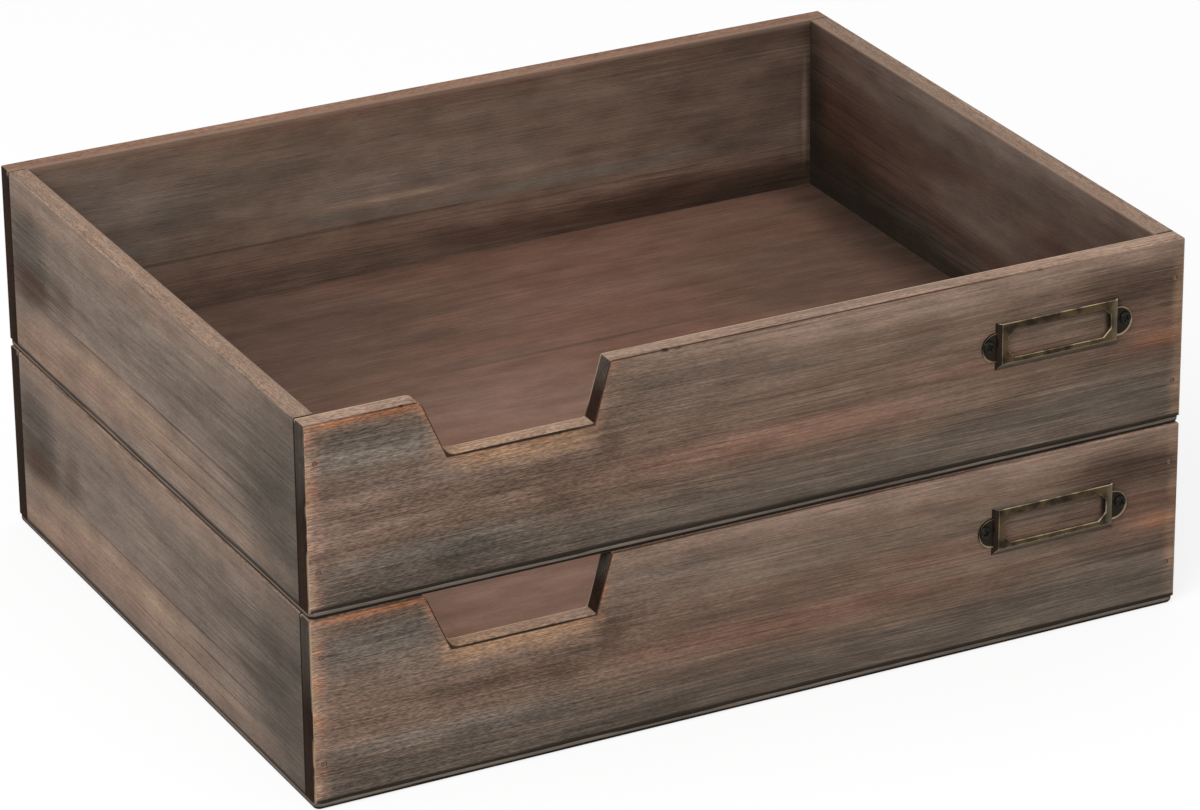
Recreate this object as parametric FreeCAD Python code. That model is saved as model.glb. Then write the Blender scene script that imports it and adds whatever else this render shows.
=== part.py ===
"""Two stackable wooden letter trays with a hand notch and a card holder on the front.

Millimetres. +Z is up, X runs along the width and the fronts face -Y. The origin is the centre of
the lower tray's footprint, on the surface that the stack stands on. Both trays are alike, and each
is made of butt-jointed boards on a thin bottom panel, held by brads. A stamped card holder is
screwed to the front panel.
"""
import FreeCAD
import Part
import math
import os

Vector = FreeCAD.Vector

# Tray
tray_names = ("lower", "upper")
tray_width = 335.0
tray_depth = 260.0
tray_height = 70.0

# Boards
board_thickness = 7.5
board_edge_round = 0.6
bottom_thickness = 3.0
bottom_corner_radius = 2.5
bottom_lower_round_share = 0.6
bottom_upper_round_share = 0.17

# Hand notch in the front panel, placed from its left end and top edge
notch_left_from_end = 42.0
notch_floor_left_from_end = 51.2
notch_floor_right_from_end = 105.2
notch_right_from_end = 111.4
notch_depth = 21.5
notch_left_shoulder_radius = 4.0
notch_left_floor_radius = 5.5
notch_right_floor_radius = 1.2
notch_right_shoulder_radius = 0.8

# Screws of the card holder
screw_head_diameter = 4.6
screw_head_height = 1.5
screw_head_edge = 0.5
screw_recess_length = 2.5
screw_recess_width = 0.55
screw_recess_depth = 0.8
screw_shank_diameter = 2.0
screw_point_length = 2.0
screw_point_diameter = 0.4
screw_tip_cover = 2.3
screw_gap_to_holder_wall = 0.35
screw_ear_clearance = 0.15

# Card holder, placed from the front panel's right end and top edge
label_centre_from_end = 51.3
label_centre_below_top = 25.6
label_base_length = 49.2
label_base_height = 17.6
label_depth = 2.2
label_sheet = 0.6
label_side_flare = 1.7
label_bottom_flare = 2.9
label_top_bar = 2.4
label_side_bar = 2.1
label_bottom_bar = 1.5
label_window_corner_length = 3.4
label_window_corner_height = 2.6
label_ear_margin = 0.45
label_ear_thickness = 0.8
label_rim_round_share = 0.6
label_ear_round_share = 0.4

# Brads
brad_shank_diameter = 1.2
brad_head_diameter = 1.9
brad_head_height = 0.6
brad_point_length = 2.4
brad_point_diameter = 0.3
brad_set_depth = 0.3
corner_brad_bite = 14.5
corner_brad_from_edge = 14.0
bottom_brad_bite = 13.0
bottom_brad_from_corner = 45.0
bottom_brad_count_per_long_wall = 4
bottom_brad_count_per_short_wall = 3

# Clearance of every fastener in the wood, and one overrun for every cut
fastener_clearance = 0.03
cut_overrun = 1.0

# Places worked out from the sizes above
half_width = tray_width / 2
half_depth = tray_depth / 2
front_face_y = -half_depth
front_inner_y = front_face_y + board_thickness
back_inner_y = half_depth - board_thickness
side_inner_x = half_width - board_thickness
wall_centre_x = half_width - board_thickness / 2
wall_centre_y = half_depth - board_thickness / 2
screw_length = label_ear_thickness + board_thickness - screw_tip_cover
screw_seat_y = front_face_y - label_ear_thickness
screw_reach = label_base_length / 2 + screw_gap_to_holder_wall + screw_head_diameter / 2
label_middle_x = half_width - label_centre_from_end
label_ear_radius = screw_gap_to_holder_wall + screw_head_diameter + label_ear_margin


def box(x0, x1, y0, y1, z0, z1):
    """A box from its lowest to its highest corner."""
    return Part.makeBox(x1 - x0, y1 - y0, z1 - z0, Vector(x0, y0, z0))


def plate(points, direction):
    """A closed outline pushed along a direction."""
    return Part.Face(Part.makePolygon(points + points[:1])).extrude(direction)


def close_to(value, target):
    """True where two lengths are the same, to a small share of the sheet's thickness."""
    tolerance_share = 0.01
    return abs(value - target) < label_sheet * tolerance_share


def rounded(shape, radius, test):
    """The shape with a fillet on each edge whose middle point passes a test."""
    chosen = []
    for edge in shape.Edges:
        middle = edge.valueAt((edge.FirstParameter + edge.LastParameter) / 2)
        if test(middle):
            chosen.append(edge)
    return shape.makeFillet(radius, chosen)


def standing(shape, base, axis):
    """The shape, made along +Z from zero, set on a base point and turned to an axis."""
    shape.Placement = FreeCAD.Placement(base, FreeCAD.Rotation(Vector(0, 0, 1), axis))
    return shape


def turned(outline):
    """A solid of revolution about Z from a closed wire in the XZ plane."""
    return Part.Face(outline).revolve(Vector(), Vector(0, 0, 1), 360)


def profile(points):
    """A closed wire in the XZ plane from (radius, height) points."""
    corners = [Vector(radius, 0, height) for radius, height in points]
    return Part.makePolygon(corners + corners[:1])


# Fasteners, and the holes that they fill in the wood

def brad(place, axis, length, clearance=0):
    """A headed brad set below the surface at place. With a clearance, it is the brad's hole."""
    head = brad_head_diameter / 2 + clearance
    shank = brad_shank_diameter / 2 + clearance
    point = brad_point_diameter / 2 + clearance
    top = -brad_set_depth if clearance else 0
    end = length + clearance
    outline = profile([
        (0, top), (head, top), (head, brad_head_height), (shank, brad_head_height),
        (shank, length - brad_point_length), (point, end), (0, end),
    ])
    return standing(turned(outline), place + axis * brad_set_depth, axis)


def screw_pilot(seat):
    """The hole that a screw fills in the front panel; seat is the point under its head."""
    shank = screw_shank_diameter / 2 + fastener_clearance
    point = screw_point_diameter / 2 + fastener_clearance
    end = screw_length + fastener_clearance
    outline = profile([
        (0, 0), (shank, 0), (shank, screw_length - screw_point_length), (point, end), (0, end),
    ])
    return standing(turned(outline), seat, Vector(0, 1, 0))


def screw(seat):
    """A pan-head wood screw: a domed head with a cross recess on a plain pointed shank."""
    head = screw_head_diameter / 2
    shank = screw_shank_diameter / 2
    dome_rise = screw_head_height - screw_head_edge
    dome_radius = (head ** 2 + dome_rise ** 2) / (2 * dome_rise)
    half_angle = math.asin(head / dome_radius) / 2
    crown = Vector(0, 0, -screw_head_height)
    dome_middle = Vector(
        dome_radius * math.sin(half_angle), 0,
        dome_radius * (1 - math.cos(half_angle)) - screw_head_height)
    corners = [
        Vector(head, 0, -screw_head_edge), Vector(head, 0, 0), Vector(shank, 0, 0),
        Vector(shank, 0, screw_length - screw_point_length),
        Vector(screw_point_diameter / 2, 0, screw_length), Vector(0, 0, screw_length), crown,
    ]
    edges = [Part.Arc(crown, dome_middle, corners[0]).toShape()]
    edges += [Part.makeLine(start, end) for start, end in zip(corners, corners[1:])]
    body = turned(Part.Wire(edges))
    arm = screw_recess_length / 2
    slot = screw_recess_width / 2
    above = -screw_head_height - cut_overrun
    floor = -screw_head_height + screw_recess_depth
    body = body.cut([
        box(-arm, arm, -slot, slot, above, floor),
        box(-slot, slot, -arm, arm, above, floor),
    ])
    return standing(body, seat, Vector(0, 1, 0))


# Boards

def front_panel(low, top):
    """The front panel: the hand notch is part of its outline, then corners and edges are eased."""
    left = -half_width
    floor = top - notch_depth
    notch = (
        (left + notch_right_from_end, top, notch_right_shoulder_radius),
        (left + notch_floor_right_from_end, floor, notch_right_floor_radius),
        (left + notch_floor_left_from_end, floor, notch_left_floor_radius),
        (left + notch_left_from_end, top, notch_left_shoulder_radius),
    )
    outline = [(left, low), (half_width, low), (half_width, top)]
    outline += [(x, z) for x, z, radius in notch] + [(left, top)]
    panel = plate(
        [Vector(x, front_face_y, z) for x, z in outline], Vector(0, board_thickness, 0))
    for x, z, radius in notch:
        panel = rounded(panel, radius, lambda p: close_to(p.x, x) and close_to(p.z, z))
    panel = rounded(panel, board_edge_round, lambda p: eased_outside(p, front_face_y, low, top))
    return rounded(
        panel, board_edge_round,
        lambda p: close_to(p.y, front_inner_y) and p.z > low and abs(p.x) < side_inner_x)


def back_panel(low, top):
    """The back panel: a plain board with eased edges."""
    panel = box(-half_width, half_width, back_inner_y, half_depth, low, top)
    panel = rounded(panel, board_edge_round, lambda p: eased_outside(p, half_depth, low, top))
    return rounded(
        panel, board_edge_round, lambda p: close_to(p.y, back_inner_y) and close_to(p.z, top))


def eased_outside(point, face_y, low, top):
    """True on the edges that a hand meets: round the outer face and over the top of both ends."""
    round_face = close_to(point.y, face_y) and not close_to(point.z, low)
    over_end = close_to(abs(point.x), half_width) and close_to(point.z, top)
    return round_face or over_end


def side_panel(low, top, side):
    """A side between front and back; side is -1 on the left and 1 on the right."""
    x0, x1 = sorted((side * half_width, side * side_inner_x))
    panel = box(x0, x1, front_inner_y, back_inner_y, low, top)
    return rounded(
        panel, board_edge_round,
        lambda p: close_to(p.z, top) and (close_to(p.x, x0) or close_to(p.x, x1)))


def bottom_panel(low):
    """The bottom: a thin board under the walls with a rounded lower edge and soft corners."""
    top = low + bottom_thickness
    panel = box(-half_width, half_width, -half_depth, half_depth, low, top)
    panel = rounded(
        panel, bottom_corner_radius,
        lambda p: close_to(abs(p.x), half_width) and close_to(abs(p.y), half_depth))
    panel = rounded(
        panel, bottom_thickness * bottom_lower_round_share, lambda p: close_to(p.z, low))
    return rounded(
        panel, bottom_thickness * bottom_upper_round_share, lambda p: close_to(p.z, top))


# Card holder

def label_tent(middle_z, inset, depth, open_rise):
    """The drawn form of the holder: a rectangle on the wood that narrows to a raised face."""
    half = label_base_length / 2 - inset
    low = middle_z - label_base_height / 2 + inset
    high = middle_z + label_base_height / 2 + open_rise
    slope_share = depth / label_depth

    def rectangle(y, side_in, bottom_in):
        left = label_middle_x - half + side_in
        right = label_middle_x + half - side_in
        foot = low + bottom_in
        points = [
            Vector(left, y, foot), Vector(right, y, foot), Vector(right, y, high),
            Vector(left, y, high),
        ]
        return Part.makePolygon(points + points[:1])

    base = rectangle(front_face_y, 0, 0)
    face = rectangle(
        front_face_y - depth, label_side_flare * slope_share, label_bottom_flare * slope_share)
    return Part.makeLoft([base, face], True, True)


def label_window(middle_z):
    """The eight-sided window through the raised face, inside its four bars."""
    half = label_base_length / 2 - label_side_flare - label_side_bar
    top = middle_z + label_base_height / 2 - label_top_bar
    low = middle_z - label_base_height / 2 + label_bottom_flare + label_bottom_bar
    inner_half = half - label_window_corner_length
    upper = top - label_window_corner_height
    lower = low + label_window_corner_height
    outline = [
        (-inner_half, low), (inner_half, low), (half, lower), (half, upper),
        (inner_half, top), (-inner_half, top), (-half, upper), (-half, lower),
    ]
    start_y = front_face_y - label_depth - cut_overrun
    points = [Vector(label_middle_x + x, start_y, z) for x, z in outline]
    return plate(points, Vector(0, label_depth + cut_overrun, 0))


def label_ear(middle_z, side):
    """A flat half-round ear with its screw hole; side is -1 on the left and 1 on the right."""
    wall_x = label_middle_x + side * label_base_length / 2
    root_x = wall_x - side * label_sheet
    tip_x = wall_x + side * label_ear_radius
    disc = Part.makeCylinder(
        label_ear_radius, label_ear_thickness, Vector(wall_x, screw_seat_y, middle_z),
        Vector(0, 1, 0))
    disc = rounded(
        disc, label_ear_thickness * label_ear_round_share, lambda p: close_to(p.y, screw_seat_y))
    x0, x1 = sorted((root_x, tip_x))
    half_disc = disc.common(box(
        x0, x1, screw_seat_y, front_face_y, middle_z - label_ear_radius,
        middle_z + label_ear_radius))
    hole = Part.makeCylinder(
        screw_shank_diameter / 2 + screw_ear_clearance, label_ear_thickness,
        Vector(label_middle_x + side * screw_reach, screw_seat_y, middle_z), Vector(0, 1, 0))
    return half_disc.cut(hole)


def label_frame(middle_z):
    """The stamped holder: a sheet tent, open to the wood and to the top, with window and ears."""
    face_y = front_face_y - label_depth
    outer = rounded(
        label_tent(middle_z, 0, label_depth, 0), label_sheet * label_rim_round_share,
        lambda p: close_to(p.y, face_y))
    card_space = label_tent(middle_z, label_sheet, label_depth - label_sheet, cut_overrun)
    frame = outer.cut([card_space, label_window(middle_z)])
    ears = [label_ear(middle_z, side).cut(card_space) for side in (-1, 1)]
    return frame.fuse(ears).removeSplitter()


# Brad patterns: each place is the point on the surface, the way in and the length

def spaced(first, last, count):
    """Evenly spaced places from first to last."""
    return [first + (last - first) * index / (count - 1) for index in range(count)]


def corner_brads(low, top, side):
    """Brads through the front (-1) or the back (1) into the ends of the sides."""
    heights = (top - corner_brad_from_edge, low + corner_brad_from_edge)
    length = board_thickness + corner_brad_bite - brad_set_depth
    return [
        (Vector(x, side * half_depth, z), Vector(0, -side, 0), length)
        for x in (-wall_centre_x, wall_centre_x) for z in heights
    ]


def bottom_brads(low):
    """Brads up through the bottom panel into the lower edges of the walls."""
    reach_x = half_width - bottom_brad_from_corner
    reach_y = half_depth - bottom_brad_from_corner
    along_width = spaced(-reach_x, reach_x, bottom_brad_count_per_long_wall)
    along_depth = spaced(-reach_y, reach_y, bottom_brad_count_per_short_wall)
    places = [(x, y) for y in (-wall_centre_y, wall_centre_y) for x in along_width]
    places += [(x, y) for x in (-wall_centre_x, wall_centre_x) for y in along_depth]
    length = bottom_thickness + bottom_brad_bite - brad_set_depth
    return [(Vector(x, y, low), Vector(0, 0, 1), length) for x, y in places]


def drilled(shape, holes):
    """The shape with the holes that reach it cut out."""
    reached = [hole for hole in holes if hole.BoundBox.intersect(shape.BoundBox)]
    return shape.cut(reached) if reached else shape


def tray(base_z):
    """All the pieces of one tray by name; base_z is the height that it stands at."""
    low = base_z + bottom_thickness
    top = base_z + tray_height
    label_z = top - label_centre_below_top
    screw_seats = [
        Vector(label_middle_x + side * screw_reach, screw_seat_y, label_z) for side in (-1, 1)
    ]
    front = corner_brads(low, top, -1)
    back = corner_brads(low, top, 1)
    bottom = bottom_brads(base_z)
    holes = [brad(*place, clearance=fastener_clearance) for place in front + back + bottom]
    holes += [screw_pilot(seat) for seat in screw_seats]
    return {
        "front_panel": drilled(front_panel(low, top), holes),
        "back_panel": drilled(back_panel(low, top), holes),
        "left_side": drilled(side_panel(low, top, -1), holes),
        "right_side": drilled(side_panel(low, top, 1), holes),
        "bottom_panel": drilled(bottom_panel(base_z), holes),
        "label_frame": label_frame(label_z),
        "label_screws": Part.makeCompound([screw(seat) for seat in screw_seats]),
        "front_brads": Part.makeCompound([brad(*place) for place in front]),
        "back_brads": Part.makeCompound([brad(*place) for place in back]),
        "bottom_brads": Part.makeCompound([brad(*place) for place in bottom]),
    }


def main():
    os.makedirs("parts", exist_ok=True)
    for level, tray_name in enumerate(tray_names):
        for piece, shape in tray(level * tray_height).items():
            node = tray_name + "_" + piece
            if not shape.Solids or not all(solid.isValid() for solid in shape.Solids):
                raise ValueError(node + " isn't a valid solid")
            shape.exportStep("parts/" + node + ".step")
            volume = sum(solid.Volume for solid in shape.Solids)
            print(node, len(shape.Solids), "solids", round(volume, 1), "mm3")


main()
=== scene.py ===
"""Dresses a stack of two wooden letter trays: weathered boards, brass card holders and a stage.

Metres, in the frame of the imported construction: +Z is up, X runs along the width and the fronts
face -Y. Boards and brads keep their construction shape and get their finish here. A place on a
board is given along its grain, across it from the top edge, and through it from the outer face.
Card holders and screws are modelled flat, with Z away from the wood, and then set on the fronts.
"""

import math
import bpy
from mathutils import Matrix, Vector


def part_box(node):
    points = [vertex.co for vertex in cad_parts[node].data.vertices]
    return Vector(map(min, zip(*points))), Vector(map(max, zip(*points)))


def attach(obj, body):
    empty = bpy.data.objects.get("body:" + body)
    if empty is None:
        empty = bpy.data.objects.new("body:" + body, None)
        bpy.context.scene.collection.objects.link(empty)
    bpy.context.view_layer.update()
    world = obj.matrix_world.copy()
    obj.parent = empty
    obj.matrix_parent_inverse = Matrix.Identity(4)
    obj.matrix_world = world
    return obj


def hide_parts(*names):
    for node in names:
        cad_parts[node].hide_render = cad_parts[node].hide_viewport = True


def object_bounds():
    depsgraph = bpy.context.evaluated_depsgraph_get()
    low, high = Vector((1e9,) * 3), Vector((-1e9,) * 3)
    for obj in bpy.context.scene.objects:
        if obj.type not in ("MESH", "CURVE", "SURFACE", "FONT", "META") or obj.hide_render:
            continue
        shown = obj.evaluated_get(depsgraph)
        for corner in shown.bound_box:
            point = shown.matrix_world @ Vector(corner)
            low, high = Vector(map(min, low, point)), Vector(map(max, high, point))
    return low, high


bl_info = {
    "name": "Stacked letter trays",
    "version": (1, 0, 0),
    "blender": (4, 5, 0),
    "location": "View3D > Sidebar > Letter trays",
    "description": "Dresses the packed letter trays with weathered wood, old brass and a stage",
    "category": "Object",
}

from collections import namedtuple

import bmesh
import bpy
from mathutils import Euler, Matrix, Vector

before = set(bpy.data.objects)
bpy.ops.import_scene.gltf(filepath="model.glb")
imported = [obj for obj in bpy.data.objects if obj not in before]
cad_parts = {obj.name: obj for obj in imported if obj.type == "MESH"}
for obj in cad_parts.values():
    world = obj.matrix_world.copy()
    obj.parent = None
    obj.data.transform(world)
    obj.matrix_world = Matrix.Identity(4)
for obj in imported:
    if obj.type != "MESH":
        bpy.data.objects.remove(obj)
construction_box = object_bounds()
tray_names = ("lower", "upper")


# Settings that a user would change

def colour(name, description, value):
    """A colour setting, in linear light."""
    return bpy.props.FloatVectorProperty(
        name=name, description=description, default=value, subtype="COLOR", min=0, max=1)


def distance(name, description, value):
    """A length setting, in metres."""
    return bpy.props.FloatProperty(
        name=name, description=description, default=value, subtype="DISTANCE", unit="LENGTH",
        precision=5)


def angle(name, description, degrees):
    """An angle setting."""
    return bpy.props.FloatProperty(
        name=name, description=description, default=math.radians(degrees), subtype="ANGLE",
        unit="ROTATION")


def amount(name, description, value):
    """A plain number setting."""
    return bpy.props.FloatProperty(name=name, description=description, default=value, min=0)


class WoodStains(bpy.types.PropertyGroup):
    """Colours of the stained, rubbed and weathered wood, and of the shade painted into its corners
    and seams.
    """
    brown: colour("Brown", "Stain over most of the fronts", (0.168, 0.111, 0.081))
    taupe: colour("Taupe", "Bleached stain on the outer sides", (0.190, 0.146, 0.119))
    grey: colour("Grey", "Weathered grey bands", (0.116, 0.094, 0.075))
    slate: colour("Slate", "Dark grey bands and corners", (0.074, 0.062, 0.051))
    ash: colour("Ash", "Cool bleached grey", (0.150, 0.137, 0.118))
    umber: colour("Umber", "Dark brown smudges", (0.072, 0.046, 0.034))
    # Also painted shade in the inner corners, in the gaps along the feet of the walls, at the edges
    # of the bottoms and under the card holders.
    soot_and_shade: colour("Soot", "Nearly black corners and seams", (0.018, 0.015, 0.011))
    # Also painted shade in the back inner corners.
    crack_and_shade: colour("Crack", "Red-brown lines along the rims", (0.045, 0.021, 0.013))
    russet: colour("Russet", "Reddish streaks", (0.200, 0.108, 0.077))
    rose: colour("Rose", "Pinkish rubbed places", (0.235, 0.152, 0.118))
    amber: colour("Amber", "Orange wear where the stain is rubbed off", (0.370, 0.160, 0.082))
    honey: colour("Honey", "Bare wood round the hand notch", (0.320, 0.195, 0.120))
    tan: colour("Tan", "Light rubbed bands", (0.245, 0.168, 0.127))
    straw: colour("Straw", "Pale bare wood on rubbed corners", (0.360, 0.255, 0.170))
    # Also a painted highlight along the worn inner edge of the front's rim.
    pale: colour("Pale", "Bright line along rubbed edges", (0.500, 0.370, 0.270))
    rim: colour("Rim", "Top edges of the sides", (0.255, 0.172, 0.126))
    front_rim: colour("Front rim", "Top edges of the fronts", (0.280, 0.188, 0.140))
    back_rim: colour("Back rim", "Top edges of the backs", (0.248, 0.141, 0.098))
    end_grain: colour("End grain", "Sawn ends of the boards", (0.022, 0.012, 0.008))
    inside: colour("Inside", "Inner faces of the walls", (0.162, 0.108, 0.080))
    inside_dark: colour("Dark inside", "Inner faces of the sides", (0.080, 0.048, 0.036))
    floor: colour("Tray floor", "Top of the bottom panels", (0.164, 0.087, 0.062))
    underside: colour("Underside", "Raw lower side of the bottom panels", (0.190, 0.130, 0.092))
    brad_dark: colour("Dark brad", "Dark places on the brad heads", (0.110, 0.075, 0.056))
    brad_light: colour("Light brad", "Light places on the brad heads", (0.200, 0.138, 0.105))


class WoodGrain(bpy.types.PropertyGroup):
    """Sizes and strengths of the grain."""
    fibre_width: distance("Fibre width", "Width of one fibre streak", 0.00048)
    band_width: distance("Band width", "Width of one growth band", 0.009)
    wander: distance("Wander", "How far the grain swings to the side", 0.006)
    fibre_depth: amount("Fibre contrast", "Light and dark of the fibres", 0.85)
    fleck_depth: amount("Fleck contrast", "Light and dark of the short flecks", 0.80)
    band_depth: amount("Band contrast", "Light and dark of the bands", 0.50)
    mottle_depth: amount("Mottle contrast", "Light and dark of the blotches", 0.45)
    pore_depth: amount("Pore darkness", "How dark the open pores are", 0.30)
    inner_share: amount("Inner contrast", "Share of the contrast left on inner faces", 0.55)
    relief: distance("Relief", "Height of the raised grain", 0.00020)


class HandNotch(bpy.types.PropertyGroup):
    """Outline of the hand notch, from the left end and the top edge of the front."""
    left: distance("Left shoulder", "Where the left wall meets the top edge", 0.0420)
    floor_left: distance("Floor start", "Left end of the notch floor", 0.0512)
    floor_right: distance("Floor end", "Right end of the notch floor", 0.1052)
    right: distance("Right shoulder", "Where the right wall meets the top edge", 0.1114)
    depth: distance("Depth", "Depth below the top edge", 0.0215)


class CardHolder(bpy.types.PropertyGroup):
    """Sizes and colours of the stamped card holder."""
    length: distance("Length", "Length of the holder without its ears", 0.0492)
    side_flare: distance("Side flare", "How far the side walls lean in", 0.0017)
    bottom_flare: distance("Bottom flare", "How far the bottom wall leans in", 0.0029)
    top_bar: distance("Top bar", "Width of the face above the window", 0.0024)
    side_bar: distance("Side bar", "Width of the face beside the window", 0.0021)
    bottom_bar: distance("Bottom bar", "Width of the face below the window", 0.0015)
    window_corner: distance("Window corner", "Cut at the corners of the window", 0.0030)
    sheet: distance("Sheet", "Thickness of the metal", 0.0006)
    ear_height: distance("Ear height", "Height of the ears' rims above the wood", 0.0008)
    ear_rim: distance("Ear rim", "Width of the rim round an ear", 0.0005)
    ear_dish: distance("Ear dish", "How far an ear is sunk inside its rim", 0.0003)
    edge: distance("Edge", "Width of the rubbed edges", 0.00026)
    patina: colour("Patina", "Dark brass", (0.076, 0.050, 0.022))
    # Also painted as a dark reflection on the left-facing walls.
    shadow: colour("Dark patina", "Darkest brass", (0.018, 0.012, 0.008))
    # Also the painted reflection of the floor on the lower wall.
    dust_and_reflection: colour("Dusty brass", "Greyish brass on the lower wall", (0.170, 0.142, 0.098))
    bright: colour("Bright brass", "Brass where it is rubbed", (0.680, 0.560, 0.370))


class HolderScrew(bpy.types.PropertyGroup):
    """Sizes and colours of the pan-head screws."""
    head: distance("Head", "Diameter of the head", 0.0046)
    head_height: distance("Head height", "Height of the head", 0.0015)
    dome: distance("Dome", "Rounding of the head", 0.0009)
    shank: distance("Shank", "Diameter of the shank", 0.0020)
    slot_length: distance("Slot length", "Length of the cross slots", 0.0026)
    slot_width: distance("Slot width", "Width of the cross slots", 0.0006)
    slot_depth: distance("Slot depth", "Depth of the cross slots", 0.0008)
    oxide: colour("Oxide", "Black finish", (0.007, 0.006, 0.004))
    grease: colour("Worn oxide", "Greyer finish on worn places", (0.030, 0.026, 0.019))


class StudioStage(bpy.types.PropertyGroup):
    """Camera, lamps and floor."""
    turn: angle("Turn", "How far the camera stands to the left of the front", 27.0)
    rise: angle("Rise", "Camera height above the horizon", 23.96)
    roll: angle("Roll", "Camera roll", 0.59)
    reach: distance("Reach", "Distance from the camera to the middle of the stack", 2.082)
    shift_right: distance("Shift right", "Camera place along its own right", 0.00549)
    shift_down: distance("Shift down", "Camera place along its own down", 0.00785)
    lens: bpy.props.FloatProperty(
        name="Lens", description="Focal length for a 36 mm sensor", default=175.2, unit="CAMERA")
    key_power: bpy.props.FloatProperty(
        name="Key power", description="Large soft lamp at the upper left", default=39.5,
        subtype="POWER")
    key_size: distance("Key size", "Width of the soft lamp", 1.6)
    key_place: bpy.props.FloatVectorProperty(
        name="Key place", description="Soft lamp from the middle of the stack",
        default=(-1.35, -1.05, 1.55), subtype="TRANSLATION", unit="LENGTH")
    inside_power: bpy.props.FloatProperty(
        name="Inside power", description="Soft lamp in the lower tray", default=0.23,
        subtype="POWER")
    sky_strength: amount("Sky strength", "Even light from all round", 0.70)
    floor_bounce: colour("Floor bounce", "Floor as the trays see it", (0.55, 0.55, 0.55))
    floor_seen: colour("Floor seen", "Floor as the camera sees it", (0.94, 0.94, 0.94))
    floor_white: amount("Floor white", "Share of plain white in the floor's look", 0.80)
    floor_size: distance("Floor size", "Width of the floor", 8.0)


# Node helpers

def set_input(tree, socket, value):
    """Links a socket, or sets its plain value."""
    if isinstance(value, bpy.types.NodeSocket):
        tree.links.new(value, socket)
    else:
        socket.default_value = value


def add_node(tree, kind, inputs=None, **settings):
    """A node with its settings, and its inputs by name or number."""
    node = tree.nodes.new(kind)
    for name, value in settings.items():
        setattr(node, name, value)
    for key, value in (inputs or {}).items():
        set_input(tree, node.inputs[key], value)
    return node


def add_math(tree, operation, first, second=0.0, third=0.0, clamp=False):
    """One arithmetic step."""
    node = add_node(
        tree, "ShaderNodeMath", {0: first, 1: second, 2: third}, operation=operation,
        use_clamp=clamp)
    return node.outputs[0]


def add_vector_math(tree, operation, first, second=(0, 0, 0)):
    """One arithmetic step on vectors."""
    node = add_node(
        tree, "ShaderNodeVectorMath", {0: first, 1: second}, operation=operation)
    return node.outputs["Value" if operation in ("LENGTH", "DOT_PRODUCT") else "Vector"]


def add_scaled(tree, vector, factor):
    """A vector or colour times a number."""
    node = add_node(
        tree, "ShaderNodeVectorMath", {0: vector, "Scale": factor}, operation="SCALE")
    return node.outputs["Vector"]


def add_mix(tree, factor, first, second, blend="MIX"):
    """Two colours mixed by a factor."""
    node = add_node(
        tree, "ShaderNodeMix", {0: factor, 6: first, 7: second}, data_type="RGBA",
        blend_type=blend, clamp_factor=True)
    return node.outputs[2]


def add_ramp(tree, value, low, high, start=0.0, end=1.0):
    """A smooth step of a value from low to high."""
    node = add_node(
        tree, "ShaderNodeMapRange",
        {"Value": value, "From Min": low, "From Max": high, "To Min": start, "To Max": end},
        interpolation_type="SMOOTHSTEP")
    return node.outputs["Result"]


def add_noise(tree, vector, seed, scale=1.0, detail=2.0, roughness=0.5):
    """Cloudy noise, from about 0.2 to 0.8, with its own seed."""
    node = add_node(
        tree, "ShaderNodeTexNoise",
        {"Vector": vector, "W": seed, "Scale": scale, "Detail": detail, "Roughness": roughness},
        noise_dimensions="4D")
    return node.outputs[0]


def split(tree, vector):
    """The three parts of a vector."""
    return add_node(tree, "ShaderNodeSeparateXYZ", {0: vector}).outputs


def joined(tree, x, y, z):
    """A vector from its three parts."""
    return add_node(tree, "ShaderNodeCombineXYZ", {0: x, 1: y, 2: z}).outputs[0]


def new_group(name, inputs, outputs):
    """An empty node group with named sockets; gives its tree, inputs and outputs."""
    kinds = {"value": "NodeSocketFloat", "vector": "NodeSocketVector"}
    tree = bpy.data.node_groups.new(name, "ShaderNodeTree")
    for label, kind, default in inputs:
        socket = tree.interface.new_socket(
            name=label, in_out="INPUT", socket_type=kinds[kind])
        socket.default_value = default
    for label in outputs:
        tree.interface.new_socket(
            name=label, in_out="OUTPUT", socket_type=kinds["value"])
    entry = tree.nodes.new("NodeGroupInput")
    leave = tree.nodes.new("NodeGroupOutput")
    return tree, entry.outputs, leave.inputs


def place_group(tree, name, inputs):
    """A node group placed in a tree, made first where it is missing; gives its outputs."""
    if name not in bpy.data.node_groups:
        group_makers[name]()
    node = tree.nodes.new("ShaderNodeGroup")
    node.node_tree = bpy.data.node_groups[name]
    for key, value in inputs.items():
        set_input(tree, node.inputs[key], value)
    return node.outputs


def new_material(name, specular, roughness):
    """A material with one shader; gives the tree and the shader."""
    material = bpy.data.materials.new(name)
    material.use_nodes = True
    shader = material.node_tree.nodes["Principled BSDF"]
    shader.inputs["Specular IOR Level"].default_value = specular
    shader.inputs["Roughness"].default_value = roughness
    return material, material.node_tree, shader


def paint(value):
    """A colour setting as a socket value."""
    return (*value, 1.0)


def tint(palette, name):
    """A named stain as a socket value."""
    return paint(getattr(palette, name))


# Effects that several materials share

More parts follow.
